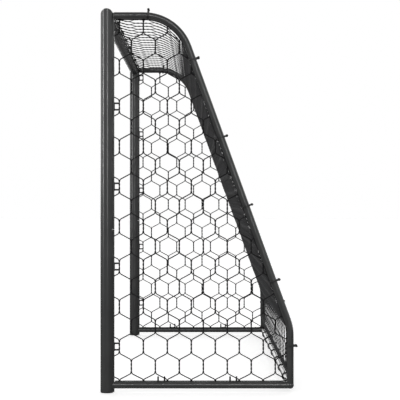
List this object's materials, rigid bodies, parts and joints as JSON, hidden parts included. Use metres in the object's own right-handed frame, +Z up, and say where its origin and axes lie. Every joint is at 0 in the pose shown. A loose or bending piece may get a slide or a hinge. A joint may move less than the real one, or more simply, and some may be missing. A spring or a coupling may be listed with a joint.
{
  "type": "garden football goal",
  "caption": "Free-standing football goal with thick round posts and crossbar, thinner bent side and rear tubes and a hexagonal net on clips.",
  "frame": {"origin": "on the ground, in the middle of the goal's width and of its depth", "axes": "+X across the mouth to the right as seen from the pitch, +Y from the mouth to the back, +Z up"},
  "size_m": [3, 1.0214, 1.9914],
  "materials": {
    "frame": "satin",
    "sleeve": "satin",
    "screw": "satin",
    "cap": "matte",
    "net": "matte",
    "clip": "matte"
  },
  "bodies": {
    "root": {"crossbar_left": "frame", "crossbar_right": "frame", "corner_left": "frame", "corner_right": "frame", "upper_post_left": "frame", "upper_post_right": "frame", "lower_post_left": "frame", "lower_post_right": "frame", "top_socket_left": "frame", "top_socket_right": "frame", "ground_socket_left": "frame", "ground_socket_right": "frame", "top_bend_tube_left": "frame", "top_bend_tube_right": "frame", "slope_tube_left": "frame", "slope_tube_right": "frame", "knee_tube_left": "frame", "knee_tube_right": "frame", "rear_corner_left": "frame", "rear_corner_right": "frame", "ground_side_tube_left": "frame", "ground_side_tube_right": "frame", "ground_bar_left": "frame", "ground_bar_right": "frame", "crossbar_sleeve": "sleeve", "corner_arm_sleeve_left": "sleeve", "corner_arm_sleeve_right": "sleeve", "upper_post_sleeve_left": "sleeve", "upper_post_sleeve_right": "sleeve", "lower_post_sleeve_left": "sleeve", "lower_post_sleeve_right": "sleeve", "ground_bar_sleeve": "sleeve", "front_screws": "screw", "side_screws": "screw", "foot_cap_left": "cap", "foot_cap_right": "cap", "net_side_left": "net", "net_side_right": "net", "net_roof": "net", "net_bend": "net", "net_slope": "net", "net_low_back": "net", "post_clips_left": "clip", "post_clips_right": "clip", "crossbar_clips": "clip", "ground_clips_left": "clip", "ground_clips_right": "clip", "back_clips_left": "clip", "back_clips_right": "clip", "ground_bar_clips": "clip"}
  },
  "joints": []
}
